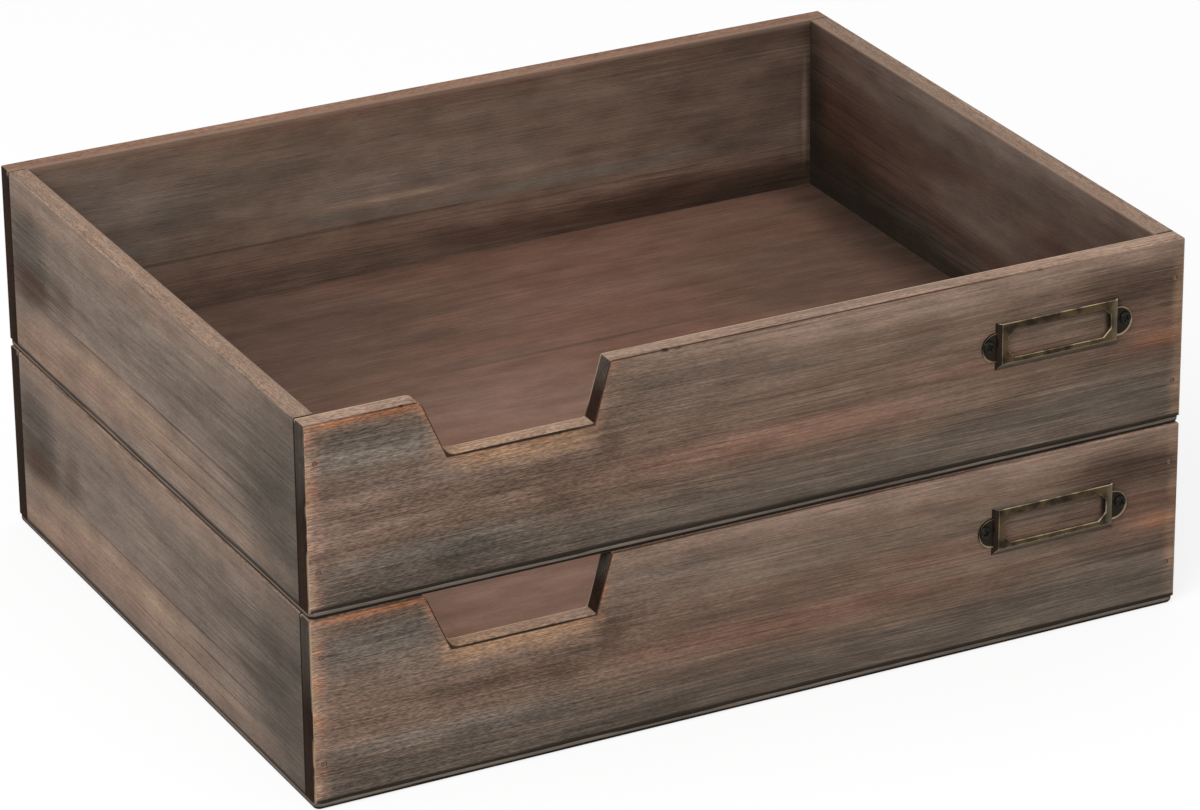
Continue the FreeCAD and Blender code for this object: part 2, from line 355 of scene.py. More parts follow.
def make_board_grain():
    """Fibres, flecks, bands, blotches and pores; pores below zero are light ticks."""
    tree, given, result = new_group(
        "Board grain",
        [("Place", "vector", (0, 0, 0)), ("Seed", "value", 0.0), ("Fibre width", "value", 0.001),
         ("Band width", "value", 0.01), ("Wander", "value", 0.005)],
        ["Fibres", "Flecks", "Bands", "Mottle", "Pores", "Ragged", "Height"])
    seed = given["Seed"]

    def streaks(place, width, stretch, offset, detail, roughness=0.5):
        """Noise drawn out along the grain; the offset of its seed sets it apart from the others."""
        drawn = add_vector_math(tree, "MULTIPLY", place, (1 / stretch, 1, 1))
        drawn = add_scaled(tree, drawn, add_math(tree, "DIVIDE", 1.0, width))
        own_seed = add_math(tree, "ADD", seed, offset)
        return add_noise(tree, drawn, own_seed, detail=detail, roughness=roughness)

    slow = add_vector_math(tree, "MULTIPLY", given["Place"], (5, 16, 16))
    swing = add_math(tree, "SUBTRACT", add_noise(tree, slow, seed, detail=1.0), 0.5)
    swing = add_math(tree, "MULTIPLY", swing, given["Wander"])
    place = add_vector_math(tree, "ADD", given["Place"], joined(tree, 0.0, swing, swing))
    fibre_width = given["Fibre width"]
    band_width = given["Band width"]
    fibres = streaks(place, fibre_width, stretch=90, offset=3.1, detail=2.0, roughness=0.55)
    fleck_width = add_math(tree, "MULTIPLY", fibre_width, 0.50)
    flecks = streaks(place, fleck_width, stretch=7, offset=7.7, detail=0.0)
    flecks = add_ramp(tree, flecks, 0.25, 0.75)
    bands = streaks(place, band_width, stretch=20, offset=11.3, detail=1.5)
    mottle = streaks(place, band_width, stretch=2.4, offset=29.3, detail=3.0, roughness=0.55)
    pore_width = add_math(tree, "MULTIPLY", fibre_width, 1.1)
    open_grain = streaks(place, pore_width, stretch=16, offset=17.9, detail=1.0)
    pores = add_ramp(tree, open_grain, 0.62, 0.76)
    light_ticks = add_ramp(tree, open_grain, 0.38, 0.24, end=0.7)
    pores = add_math(tree, "SUBTRACT", pores, light_ticks)
    torn = streaks(place, band_width, stretch=9, offset=23.3, detail=4.0, roughness=0.65)
    ragged = add_math(tree, "SUBTRACT", add_math(tree, "ADD", torn, fibres), 1.0)
    height = add_math(tree, "MULTIPLY_ADD", flecks, 0.3, fibres)
    height = add_math(tree, "MULTIPLY_ADD", pores, -0.6, height)
    for label, value in (
            ("Fibres", fibres), ("Flecks", flecks), ("Bands", bands), ("Mottle", mottle),
            ("Pores", pores), ("Ragged", ragged), ("Height", height)):
        tree.links.new(value, result[label])


def make_stain_patch():
    """A soft patch of stain with a ragged border."""
    tree, given, result = new_group(
        "Stain patch",
        [("Place", "vector", (0, 0, 0)), ("Ragged", "value", 0.0),
         ("Centre", "vector", (0, 0, 0)), ("Reach", "vector", (1, 1, 1)),
         ("Strength", "value", 1.0)],
        ["Mask"])
    offset = add_vector_math(tree, "SUBTRACT", given["Place"], given["Centre"])
    offset = add_vector_math(tree, "DIVIDE", offset, given["Reach"])
    far = add_vector_math(tree, "LENGTH", offset)
    border_swing = 1.6
    faded_at, full_at = 1.15, 0.25
    far = add_math(tree, "MULTIPLY_ADD", given["Ragged"], border_swing, far)
    mask = add_ramp(tree, far, faded_at, full_at)
    tree.links.new(add_math(tree, "MULTIPLY", mask, given["Strength"]), result["Mask"])


def make_edge_distance():
    """How far a place on a board's surface is from each kind of edge."""
    tree, given, result = new_group(
        "Edge distance",
        [("Place", "vector", (0, 0, 0)), ("Size", "vector", (1, 1, 1)), ("Notch", "value", 1.0)],
        ["Outer rim", "Inner rim", "Outer notch", "Outer ends", "Ends", "Foot"])
    along, across, through = split(tree, given["Place"])
    far_along, far_across, far_through = split(
        tree, add_vector_math(tree, "SUBTRACT", given["Size"], given["Place"]))
    top = add_math(tree, "MINIMUM", across, given["Notch"])
    ends = add_math(tree, "MINIMUM", along, far_along)
    for label, first, second in (
            ("Outer rim", top, through), ("Inner rim", top, far_through),
            ("Outer notch", given["Notch"], through), ("Outer ends", ends, through),
            ("Foot", far_across, through)):
        tree.links.new(add_math(tree, "MAXIMUM", first, second), result[label])
    tree.links.new(ends, result["Ends"])


def make_broken_line():
    """A worn line of a given width along an edge, broken into dashes along the grain."""
    tree, given, result = new_group(
        "Broken line",
        [("Place", "vector", (0, 0, 0)), ("Distance", "value", 1.0), ("Width", "value", 0.001),
         ("Dash", "value", 0.01), ("Cover", "value", 0.5), ("Softness", "value", 0.07),
         ("Seed", "value", 0.0)],
        ["Mask"])
    spread = add_scaled(tree, given["Place"], add_math(tree, "DIVIDE", 1.0, given["Dash"]))
    patchy = add_noise(tree, spread, given["Seed"], detail=3.0, roughness=0.6)
    start = add_math(tree, "MULTIPLY_ADD", given["Cover"], -0.4, 0.7)
    gate = add_ramp(tree, patchy, start, add_math(tree, "ADD", start, given["Softness"]))
    ragged_width = add_math(tree, "MULTIPLY", given["Width"], add_math(tree, "ADD", patchy, 0.5))
    near = add_math(tree, "DIVIDE", given["Distance"], ragged_width)
    line = add_ramp(tree, near, 1.0, 0.3)
    tree.links.new(add_math(tree, "MULTIPLY", line, gate), result["Mask"])


def make_notch_distance():
    """How far a place on the front is from the walls and the floor of the hand notch."""
    notch = bpy.context.scene.tray_notch
    tree, given, result = new_group(
        "Notch distance", [("Place", "vector", (0, 0, 0))], ["Distance"])

    def beyond(corner, slope):
        """Signed distance beyond a slanted wall through a corner; slope points into the wood."""
        into = slope.normalized()
        reach = add_vector_math(tree, "DOT_PRODUCT", given["Place"], (into.x, into.y, 0))
        return add_math(tree, "SUBTRACT", reach, corner.dot(into))

    left = beyond(Vector((notch.left, 0)), Vector((-notch.depth, notch.floor_left - notch.left)))
    right = beyond(
        Vector((notch.right, 0)), Vector((notch.depth, notch.right - notch.floor_right)))
    floor = beyond(Vector((0, notch.depth)), Vector((0, 1)))
    farthest = add_math(tree, "MAXIMUM", add_math(tree, "MAXIMUM", left, right), floor)
    tree.links.new(add_math(tree, "MAXIMUM", farthest, 0.0), result["Distance"])


group_makers = {
    "Board grain": make_board_grain,
    "Stain patch": make_stain_patch,
    "Edge distance": make_edge_distance,
    "Broken line": make_broken_line,
    "Notch distance": make_notch_distance,
}


# Boards

Layout = namedtuple("Layout", "turn flip")
Recipe = namedtuple(
    "Recipe", "outer inner rim greying fibres flecks bands blotches stains rubs lines")
Stain = namedtuple("Stain", "face tone along across long tall strength ragged", defaults=(0.7,))
Line = namedtuple("Line", "tone edge width dash cover strength along reach", defaults=(0.5, 2.0))

quarter = math.pi / 2

# Share of a board's thickness that a stain reaches through, and how softly bands and lines break
stain_depth = 0.6
band_softness = 0.3
line_softness = 0.07

layouts = {
    "front_panel": Layout((quarter, 0, 0), (1, 1, 1)),
    "back_panel": Layout((quarter, 0, 0), (1, -1, 1)),
    "left_side": Layout((quarter, -quarter, 0), (1, 1, 1)),
    "right_side": Layout((quarter, -quarter, 0), (-1, 1, 1)),
    "bottom_panel": Layout((0, 0, 0), (1, 1, 1)),
}


def stains_on(face, *rows):
    """Stains on one face; places and reaches are shares of the board's length and height."""
    return tuple(Stain(face, *row) for row in rows)


front_stains = stains_on(
    "outer",
    ("tan", 0.66, 0.03, 0.42, 0.15, 0.95),
    ("tan", 0.85, 0.05, 0.08, 0.09, 0.50),
    ("ash", 0.08, 0.20, 0.14, 0.14, 0.60),
    ("taupe", 0.12, 0.38, 0.14, 0.16, 0.35),
    ("slate", 0.07, 0.12, 0.09, 0.07, 0.40),
    ("rose", 0.04, 0.60, 0.12, 0.20, 0.45),
    ("rose", 0.20, 0.46, 0.11, 0.08, 0.20),
    ("umber", 0.14, 0.56, 0.16, 0.05, 0.25),
    ("rose", 0.00, 0.55, 0.018, 0.60, 0.60, 0.6),
    ("grey", 0.50, 0.90, 0.70, 0.17, 0.75),
    ("slate", 0.09, 0.93, 0.25, 0.16, 0.65),
    ("slate", 0.60, 0.98, 0.60, 0.09, 0.40),
    ("ash", 0.16, 0.78, 0.20, 0.08, 0.45),
    ("slate", 0.82, 0.81, 0.26, 0.10, 0.40),
    ("umber", 0.330, 0.45, 0.020, 0.13, 0.50, 0.5),
    ("umber", 0.278, 0.60, 0.035, 0.18, 0.40),
    ("umber", 0.017, 0.205, 0.020, 0.009, 0.80, 0.3),
    ("slate", 0.40, 0.16, 0.07, 0.06, 0.35),
    ("taupe", 0.45, 0.25, 0.20, 0.18, 0.30),
    ("russet", 0.52, 0.61, 0.26, 0.10, 0.75),
    ("russet", 0.74, 0.45, 0.16, 0.10, 0.40),
    ("umber", 0.76, 0.36, 0.18, 0.06, 0.20),
    ("umber", 0.925, 0.20, 0.080, 0.18, 0.75, 0.4),
    ("umber", 0.96, 0.38, 0.10, 0.45, 0.65),
    ("umber", 0.985, 0.32, 0.05, 0.12, 0.40),
    ("tan", 0.960, 0.04, 0.06, 0.09, 0.60, 0.4),
    ("slate", 0.97, 0.86, 0.10, 0.14, 0.50),
    ("grey", 0.93, 0.78, 0.16, 0.20, 0.60, 0.4),
    ("russet", 0.95, 0.48, 0.06, 0.18, 0.55),
    ("amber", 0.985, 0.530, 0.050, 0.06, 0.40, 0.4),
)
left_stains = stains_on(
    "outer",
    ("slate", 0.06, 0.42, 0.11, 0.36, 0.80, 0.3),
    ("umber", 0.07, 0.57, 0.10, 0.14, 0.90, 0.3),
    ("umber", 0.19, 0.48, 0.05, 0.18, 0.50, 0.3),
    ("grey", 0.72, 0.38, 0.24, 0.28, 0.50, 0.4),
    ("slate", 0.98, 0.55, 0.22, 0.95, 0.80, 0.3),
    ("slate", 0.90, 0.52, 0.09, 0.22, 0.50),
    ("tan", 0.40, 0.06, 0.60, 0.14, 0.65),
    ("tan", 0.38, 0.76, 0.42, 0.17, 0.85, 0.4),
    ("tan", 0.10, 0.93, 0.16, 0.14, 0.80, 0.4),
    ("straw", 0.40, 0.74, 0.36, 0.08, 0.35),
    ("straw", 0.10, 0.92, 0.14, 0.10, 0.25),
    ("rose", 0.24, 0.86, 0.30, 0.15, 0.60, 0.4),
    ("tan", 0.64, 0.90, 0.38, 0.11, 0.55),
    ("umber", 0.50, 0.635, 0.46, 0.008, 0.60),
    ("umber", 0.76, 0.730, 0.25, 0.010, 0.70),
    ("umber", 0.70, 0.840, 0.34, 0.008, 0.55),
)
back_stains = stains_on(
    "inner",
    ("russet", 0.30, 0.03, 0.60, 0.09, 0.45),
    ("russet", 0.50, 0.01, 0.70, 0.025, 0.90, 0.3),
    ("crack_and_shade", 0.90, 0.02, 0.30, 0.16, 0.45),
    ("russet", 0.55, 0.82, 0.65, 0.16, 0.40),
    ("taupe", 0.09, 0.38, 0.18, 0.42, 0.75),
    ("ash", 0.09, 0.60, 0.09, 0.040, 0.75),
    ("slate", 0.195, 0.45, 0.045, 0.24, 0.40),
    ("slate", 0.29, 0.32, 0.08, 0.14, 0.35),
    ("taupe", 0.46, 0.50, 0.22, 0.16, 0.60),
    ("tan", 0.44, 0.575, 0.09, 0.035, 0.80),
    ("straw", 0.46, 0.575, 0.06, 0.016, 0.85),
    ("ash", 0.36, 0.615, 0.05, 0.025, 0.50),
    ("rose", 0.62, 0.560, 0.30, 0.020, 0.45),
    ("ash", 0.66, 0.66, 0.40, 0.05, 0.40),
    ("umber", 0.30, 0.70, 0.40, 0.012, 0.60),
    ("umber", 0.70, 0.75, 0.35, 0.010, 0.45),
    ("umber", 0.60, 0.94, 0.65, 0.16, 0.55),
    # Painted shade in the lower right inner corner.
    ("crack_and_shade", 0.84, 0.92, 0.36, 0.17, 0.65, 0.3),
    ("umber", 0.90, 0.40, 0.20, 0.70, 0.35, 0.4),
    # Painted shade in the right inner corner and where the back meets the floor.
    ("soot_and_shade", 0.995, 0.50, 0.035, 0.80, 0.75, 0.2),
    ("soot_and_shade", 0.94, 1.00, 0.25, 0.16, 0.50, 0.3),
    ("tan", 0.970, 0.52, 0.005, 0.36, 0.60, 0.2),
) + stains_on(
    "outer",
    ("grey", 0.30, 0.70, 0.30, 0.20, 0.50),
    ("russet", 0.62, 0.35, 0.22, 0.12, 0.50),
    ("slate", 0.88, 0.88, 0.20, 0.16, 0.60),
    ("tan", 0.25, 0.05, 0.30, 0.09, 0.45),
)
right_stains = stains_on(
    "inner",
    ("taupe", 0.55, 0.03, 0.52, 0.13, 0.75),
    ("grey", 0.55, 0.22, 0.50, 0.14, 0.45),
    ("taupe", 0.55, 0.52, 0.20, 0.20, 0.30),
    # Painted shade: dark in the back inner corner and along the foot by the floor.
    ("crack_and_shade", 0.02, 0.75, 0.34, 0.65, 0.80, 0.3),
    ("soot_and_shade", 0.02, 0.90, 0.26, 0.40, 0.55, 0.3),
    ("soot_and_shade", 0.00, 0.60, 0.06, 0.80, 0.80, 0.2),
    ("soot_and_shade", 0.25, 1.00, 0.45, 0.40, 0.85, 0.4),
) + stains_on(
    "outer",
    ("slate", 0.12, 0.62, 0.14, 0.30, 0.60),
    ("rose", 0.64, 0.82, 0.30, 0.14, 0.60),
    ("grey", 0.60, 0.36, 0.36, 0.24, 0.45),
    ("tan", 0.70, 0.06, 0.30, 0.09, 0.45),
)
floor_stains = stains_on(
    "inner",
    ("russet", 0.32, 0.16, 0.30, 0.28, 0.70, 0.5),
    ("rose", 0.40, 0.46, 0.18, 0.20, 0.45),
    ("slate", 0.24, 0.78, 0.34, 0.34, 0.40),
    ("umber", 0.24, 0.86, 0.34, 0.24, 0.25),
    ("slate", 0.84, 0.56, 0.16, 0.34, 0.25, 0.6),
    ("umber", 0.80, 0.66, 0.20, 0.30, 0.25, 0.6),
    # Painted shadow on the floor along the right wall.
    ("umber", 0.99, 0.50, 0.09, 0.80, 0.65, 0.05),
    ("soot_and_shade", 1.00, 0.75, 0.09, 0.50, 0.60, 0.05),
    ("umber", 0.26, 0.21, 0.10, 0.006, 0.55, 0.4),
    ("umber", 0.40, 0.33, 0.15, 0.006, 0.50, 0.4),
    ("umber", 0.20, 0.50, 0.12, 0.010, 0.50, 0.4),
    ("umber", 0.55, 0.60, 0.18, 0.006, 0.45, 0.4),
    # Painted shade on the floor along the back wall.
    ("soot_and_shade", 0.50, 1.00, 0.60, 0.05, 0.45, 0.3),
)

# Rubbed bands lie under the grain and thin lines over it, along the edges; widths in metres
board_rubs = (Line("tan", "Outer rim", 0.0040, 0.040, 0.70, 0.50),)
front_rubs = board_rubs + (
    Line("amber", "Outer rim", 0.0036, 0.020, 1.35, 0.90, 0.055, 0.090),
    Line("honey", "Outer notch", 0.0090, 0.030, 1.20, 0.90, 0.228, 0.105),
    Line("amber", "Outer notch", 0.0040, 0.012, 0.75, 0.50, 0.232, 0.080),
    Line("amber", "Outer notch", 0.0040, 0.010, 0.70, 0.60, 0.330, 0.018),
    Line("rose", "Outer ends", 0.0075, 0.030, 1.20, 0.80, 0.000, 0.040),
    Line("straw", "Outer ends", 0.0035, 0.020, 1.10, 0.60, 0.000, 0.030),
    Line("amber", "Outer ends", 0.0060, 0.009, 0.80, 0.45, 0.000, 0.030),
    Line("honey", "Outer ends", 0.0060, 0.020, 1.00, 0.45, 1.000, 0.040),
)
back_edges = (
    Line("crack_and_shade", "Outer rim", 0.0008, 0.030, 0.85, 0.95),
    Line("soot_and_shade", "Outer rim", 0.0012, 0.008, 0.20, 0.90),
)
side_lines = (
    Line("umber", "Outer rim", 0.0007, 0.030, 0.50, 0.55),
    Line("tan", "Inner rim", 0.0012, 0.050, 0.85, 0.60),
)
front_lines = (
    # The pale line on the inner rim is worn edge, painted lighter as the edge's highlight.
    Line("pale", "Inner rim", 0.0013, 0.050, 0.95, 0.75),
    Line("crack_and_shade", "Outer rim", 0.0007, 0.030, 1.30, 0.95, 0.42, 0.50),
    Line("soot_and_shade", "Outer rim", 0.0012, 0.008, 0.26, 0.90, 0.42, 0.50),
)
back_lines = (Line("tan", "Inner rim", 0.0024, 0.050, 0.90, 0.60),)
# Worn outer end edges, painted lighter as their highlight.
end_lines = (Line("straw", "Outer ends", 0.0009, 0.030, 0.60, 0.60),)
notch_lines = (Line("soot_and_shade", "Outer notch", 0.0009, 0.014, 0.90, 0.95, 0.228, 0.085),)
side_recipe = Recipe(
    "taupe", "inside_dark", "rim", greying=0.3, fibres=0.7, flecks=0.15, bands=0.6, blotches=1.0,
    stains=left_stains, rubs=board_rubs, lines=side_lines)
recipes = {
    "front_panel": Recipe(
        "brown", "inside", "front_rim", greying=0.5, fibres=1.0, flecks=0.15, bands=0.9,
        blotches=1.0, stains=front_stains, rubs=front_rubs,
        lines=end_lines + front_lines + notch_lines),
    "back_panel": Recipe(
        "brown", "inside", "back_rim", greying=0.4, fibres=0.8, flecks=0.15, bands=0.7,
        blotches=1.3, stains=back_stains, rubs=board_rubs,
        lines=back_edges + end_lines + back_lines),
    "left_side": side_recipe,
    "right_side": side_recipe._replace(stains=right_stains),
    "bottom_panel": Recipe(
        "underside", "floor", "rim", greying=0.2, fibres=0.7, flecks=0.15, bands=0.4,
        blotches=0.9, stains=floor_stains, rubs=(), lines=()),
}


def board_frame(node, layout):
    """Turn, start and size that lead from the shared frame to a board's own directions."""
    turn = Euler(layout.turn).to_matrix() @ Matrix.Diagonal(layout.flip)
    corners = [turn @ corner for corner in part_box(node)]
    low = Vector(map(min, *corners))
    high = Vector(map(max, *corners))
    return -low, high - low


def add_board_place(tree, node, layout):
    """Place and facing in a board's own directions, and the board's size."""
    start, size = board_frame(node, layout)
    source = add_node(tree, "ShaderNodeTexCoord")
    place = add_node(
        tree, "ShaderNodeMapping",
        {"Vector": source.outputs["Object"], "Location": start, "Rotation": layout.turn,
         "Scale": layout.flip}, vector_type="POINT")
    facing = add_node(
        tree, "ShaderNodeMapping",
        {"Vector": source.outputs["Normal"], "Rotation": layout.turn, "Scale": layout.flip},
        vector_type="VECTOR")
    return place.outputs[0], split(tree, facing.outputs[0]), size


def add_stains(tree, tone, place, ragged, size, stains, palette):
    """Patches of stain over a tone, each on one face of the board."""
    for stain in stains:
        through = 0.0 if stain.face == "outer" else size.z
        centre = (stain.along * size.x, stain.across * size.y, through)
        reach = (stain.long * size.x, stain.tall * size.y, stain_depth * size.z)
        border = add_math(tree, "MULTIPLY", ragged, stain.ragged)
        mask = place_group(tree, "Stain patch", {
            "Place": place, "Ragged": border, "Centre": centre, "Reach": reach,
            "Strength": stain.strength})
        tone = add_mix(tree, mask["Mask"], tone, tint(palette, stain.tone))
    return tone


def add_grain_depth(tree, grain, shares, settings):
    """How much the grain lightens or darkens the stain, around one."""
    depth = 1.0
    for label, contrast in (
            ("Fibres", settings.fibre_depth), ("Flecks", settings.fleck_depth),
            ("Bands", settings.band_depth), ("Mottle", settings.mottle_depth)):
        swing = add_math(tree, "MULTIPLY_ADD", grain[label], 2 * contrast, -contrast)
        swing = add_math(tree, "MULTIPLY", swing, shares[label])
        depth = add_math(tree, "MULTIPLY", add_math(tree, "ADD", swing, 1.0), depth)
    pores = add_math(tree, "MULTIPLY", grain["Pores"], shares["Fibres"])
    pores = add_math(tree, "MULTIPLY_ADD", pores, -settings.pore_depth, 1.0)
    return add_math(tree, "MULTIPLY", depth, pores)


def add_lines(tree, tone, lines, softness, place, edge, size, seed, palette):
    """Bands or thin lines along the edges, some only on a stretch of the board."""
    along = split(tree, place)[0]
    for number, line in enumerate(lines):
        mask = place_group(tree, "Broken line", {
            "Place": place, "Distance": edge[line.edge], "Width": line.width, "Dash": line.dash,
            "Cover": line.cover, "Softness": softness, "Seed": seed + number})["Mask"]
        away = add_math(tree, "SUBTRACT", along, line.along * size.x)
        away = add_math(tree, "ABSOLUTE", away)
        span = add_ramp(
            tree, away, line.reach * size.x, 0.6 * line.reach * size.x, end=line.strength)
        mask = add_math(tree, "MULTIPLY", mask, span)
        tone = add_mix(tree, mask, tone, tint(palette, line.tone))
    return tone


def add_rim_tone(tree, recipe, along, across, mottle, palette):
    """The top edge of a wall board, with bare wood on the floor of the hand notch, and grime."""
    notch = bpy.context.scene.tray_notch
    low = add_ramp(tree, across, 0.4 * notch.depth, notch.depth)
    worn = add_ramp(tree, along, notch.floor_left, notch.floor_right, start=0.8, end=0.1)
    bare = add_math(tree, "MULTIPLY", low, worn)
    tone = add_mix(tree, bare, tint(palette, recipe.rim), paint(palette.honey))
    grimy = add_ramp(tree, mottle, 0.50, 0.70, end=0.45)
    return add_mix(tree, grimy, tone, paint(palette.grey))


def add_weathered_flecks(tree, flecks, place, size):
    """More flecks on the weathered left part of a front."""
    mask = place_group(tree, "Stain patch", {
        "Place": place, "Centre": (0.06 * size.x, 0.5 * size.y, 0),
        "Reach": (0.45 * size.x, 1.3 * size.y, size.z), "Strength": 0.30})["Mask"]
    return add_math(tree, "ADD", flecks, mask)


def add_wood_surface(tree, shader, tone, grain, relief):
    """Links a tone, with the roughness and the raised grain of the wood, to the shader."""
    tree.links.new(tone, shader.inputs["Base Color"])
    roughness = add_math(tree, "MULTIPLY_ADD", grain["Fibres"], 0.3, 0.66)
    tree.links.new(roughness, shader.inputs["Roughness"])
    bump = add_node(
        tree, "ShaderNodeBump", {"Strength": 0.5, "Distance": relief, "Height": grain["Height"]})
    tree.links.new(bump.outputs[0], shader.inputs["Normal"])


def wood_material(tray, piece, seed):
    """The finish of one board: stain, grain, rubbed edges and dark seams."""
    palette = bpy.context.scene.tray_stains
    settings = bpy.context.scene.tray_grain
    recipe = recipes[piece]
    front = piece == "front_panel"
    wall = piece != "bottom_panel"
    material, tree, shader = new_material(
        f"{tray}_{piece}_wood", specular=0.03, roughness=0.8)
    place, facing, size = add_board_place(tree, f"{tray}_{piece}", layouts[piece])
    along, across, through = split(tree, place)
    end_facing = add_ramp(tree, add_math(tree, "ABSOLUTE", facing[0]), 0.5, 0.8)
    rim_facing = add_ramp(tree, add_math(tree, "MULTIPLY", facing[1], -1.0), 0.45, 0.8)
    sawn_place = joined(tree, across, through, along)
    grain_place = add_node(
        tree, "ShaderNodeMix", {0: end_facing, 4: place, 5: sawn_place}, data_type="VECTOR")
    grain = place_group(tree, "Board grain", {
        "Place": grain_place.outputs[1], "Seed": seed, "Fibre width": settings.fibre_width,
        "Band width": settings.band_width, "Wander": settings.wander})
    inner = add_ramp(tree, through, 0.35 * size.z, 0.65 * size.z)
    tone = add_mix(tree, inner, tint(palette, recipe.outer), tint(palette, recipe.inner))
    greying = add_ramp(tree, grain["Bands"], 0.45, 0.75, end=recipe.greying)
    tone = add_mix(tree, greying, tone, paint(palette.grey))
    tone = add_stains(tree, tone, place, grain["Ragged"], size, recipe.stains, palette)
    shares = {"Bands": recipe.bands, "Mottle": recipe.blotches}
    for label, share in (("Fibres", recipe.fibres), ("Flecks", recipe.flecks)):
        shares[label] = add_math(
            tree, "MULTIPLY_ADD", inner, (settings.inner_share - 1.0) * share, share)
    if wall:
        edge = add_edge_distance(tree, piece, place, size)
        tone = add_lines(
            tree, tone, recipe.rubs, band_softness, place, edge, size, seed, palette)
        rim_tone = add_rim_tone(tree, recipe, along, across, grain["Mottle"], palette)
        tone = add_mix(tree, rim_facing, tone, rim_tone)
        end_tone = paint(palette.end_grain)
        if front:
            end_tone = add_bleached_ends(tree, end_tone, place, size, palette)
        tone = add_mix(tree, end_facing, tone, end_tone)
        shares["Flecks"] = add_math(tree, "MULTIPLY_ADD", rim_facing, 0.20, shares["Flecks"])
    else:
        tone = add_bottom_edge(tree, tone, facing, through, grain["Ragged"], size, palette)
    if front:
        shares["Flecks"] = add_weathered_flecks(tree, shares["Flecks"], place, size)
    tone = add_scaled(tree, tone, add_grain_depth(tree, grain, shares, settings))
    if front:
        # Painted shadow that the card holder's bars cast on the wood.
        tone = add_holder_shadow(tree, tone, tray, place, palette)
    if wall:
        tone = add_seams(tree, tone, piece, edge, grain["Ragged"], palette)
        tone = add_lines(
            tree, tone, recipe.lines, line_softness, place, edge, size, seed, palette)
    add_wood_surface(tree, shader, tone, grain, settings.relief)
    return material


def add_bottom_edge(tree, tone, facing, through, ragged, size, palette):
    """The edge of a bottom panel: a pale worn strip between bands of painted shade, from the seam
    above and the gap below.
    """
    edge_facing = add_ramp(tree, add_math(tree, "ABSOLUTE", facing[2]), 0.9, 0.6)
    height = add_math(tree, "DIVIDE", through, size.z)
    height = add_math(tree, "MULTIPLY_ADD", ragged, 0.25, height)
    low = add_ramp(tree, height, 0.46, 0.58)
    high = add_ramp(tree, height, 0.90, 0.82)
    patchy = add_ramp(tree, ragged, -0.2, 0.2, start=1.0, end=0.50)
    worn = add_math(tree, "MULTIPLY", low, patchy)
    side_facing = add_math(tree, "ABSOLUTE", facing[0])
    pale = add_mix(
        tree, add_math(tree, "MULTIPLY_ADD", side_facing, 0.3, 0.7), paint(palette.ash),
        paint(palette.taupe))
    # The soot and shade colour at the top and the foot of the strip is painted shade.
    strip = add_mix(tree, add_math(tree, "MULTIPLY", worn, high), paint(palette.soot_and_shade), pale)
    return add_mix(tree, edge_facing, tone, strip)


def add_bleached_ends(tree, tone, place, size, palette):
    """The greyed upper parts of the hand notch's right wall and of the front's left end."""
    notch = bpy.context.scene.tray_notch
    notch_wall = (notch.right, 0.1 * notch.depth, 0.5 * notch.depth, 0.7)
    left_end = (0, 0.1 * size.y, 0.4 * size.y, 0.6)
    for along, across, tall, strength in (notch_wall, left_end):
        mask = place_group(tree, "Stain patch", {
            "Place": place, "Centre": (along, across, size.z / 2),
            "Reach": (0.4 * notch.depth, tall, 1.5 * size.z), "Strength": strength})
        tone = add_mix(tree, mask["Mask"], tone, paint(palette.slate))
    return tone


def add_holder_shadow(tree, tone, tray, place, palette):
    """Painted shadow on the wood under the upper and the right bar of the card holder."""
    holder = bpy.context.scene.card_holder
    low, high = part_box(f"{tray}_label_frame")
    board_low, board_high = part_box(f"{tray}_front_panel")
    middle = (low.x + high.x) / 2 - board_low.x
    half = holder.length / 2 - holder.side_flare - holder.side_bar
    top = board_high.z - high.z + holder.top_bar
    foot = board_high.z - low.z - holder.bottom_flare - holder.bottom_bar
    depth = high.y - low.y
    right_bar = (middle + half + 0.25 * depth, (top + foot) / 2, 0)
    upper_bar = (middle, top + 0.2 * depth, 0)
    # Each patch is painted shadow under one bar.
    for centre, reach, strength in (
            (right_bar, (depth, 0.7 * (foot - top), depth), 0.95),
            (upper_bar, (1.1 * half, 0.9 * depth, depth), 0.6)):
        mask = place_group(tree, "Stain patch", {
            "Place": place, "Centre": centre, "Reach": reach, "Strength": strength})
        tone = add_mix(tree, mask["Mask"], tone, paint(palette.soot_and_shade))
    return tone


def add_edge_distance(tree, piece, place, size):
    """Distances from the edges of a wall board; the front has its notch as well."""
    notch = 1.0
    if piece == "front_panel":
        notch = place_group(tree, "Notch distance", {"Place": place})["Distance"]
    return place_group(tree, "Edge distance", {"Place": place, "Size": size, "Notch": notch})


def add_seams(tree, tone, piece, edge, ragged, palette):
    """Painted shade in the seam along the foot of a wall board, and the dark butt joints of a side.
    """
    side = piece in ("left_side", "right_side")
    width, strength = (0.0013, 0.7) if side else (0.0017, 0.9)
    # The darkening along the foot is painted shade of the gap under the wall.
    foot = add_math(tree, "MULTIPLY_ADD", ragged, 0.0008, edge["Foot"])
    seam_shade = add_ramp(tree, foot, width, 0.0006, end=strength)
    tone = add_mix(tree, seam_shade, tone, paint(palette.soot_and_shade))
    if side:
        joint = add_ramp(tree, edge["Ends"], 0.0007, 0.0003, end=0.9)
        tone = add_mix(tree, joint, tone, paint(palette.soot_and_shade))
    return tone


def dress(node, material):
    """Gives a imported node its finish."""
    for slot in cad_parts[node].material_slots:
        slot.material = material


def dress_boards(pieces):
    """Gives the same board of both trays its finish."""
    for level, tray in enumerate(tray_names):
        for piece in pieces:
            seed = 10.0 * list(recipes).index(piece) + 1.7 * level
            dress(f"{tray}_{piece}", wood_material(tray, piece, seed))


# Metal

# Finishes of brass faces, with their value in the wear attribute
finishes = {"plain": 0.0, "rubbed": 1.0, "sunk": -1.0}

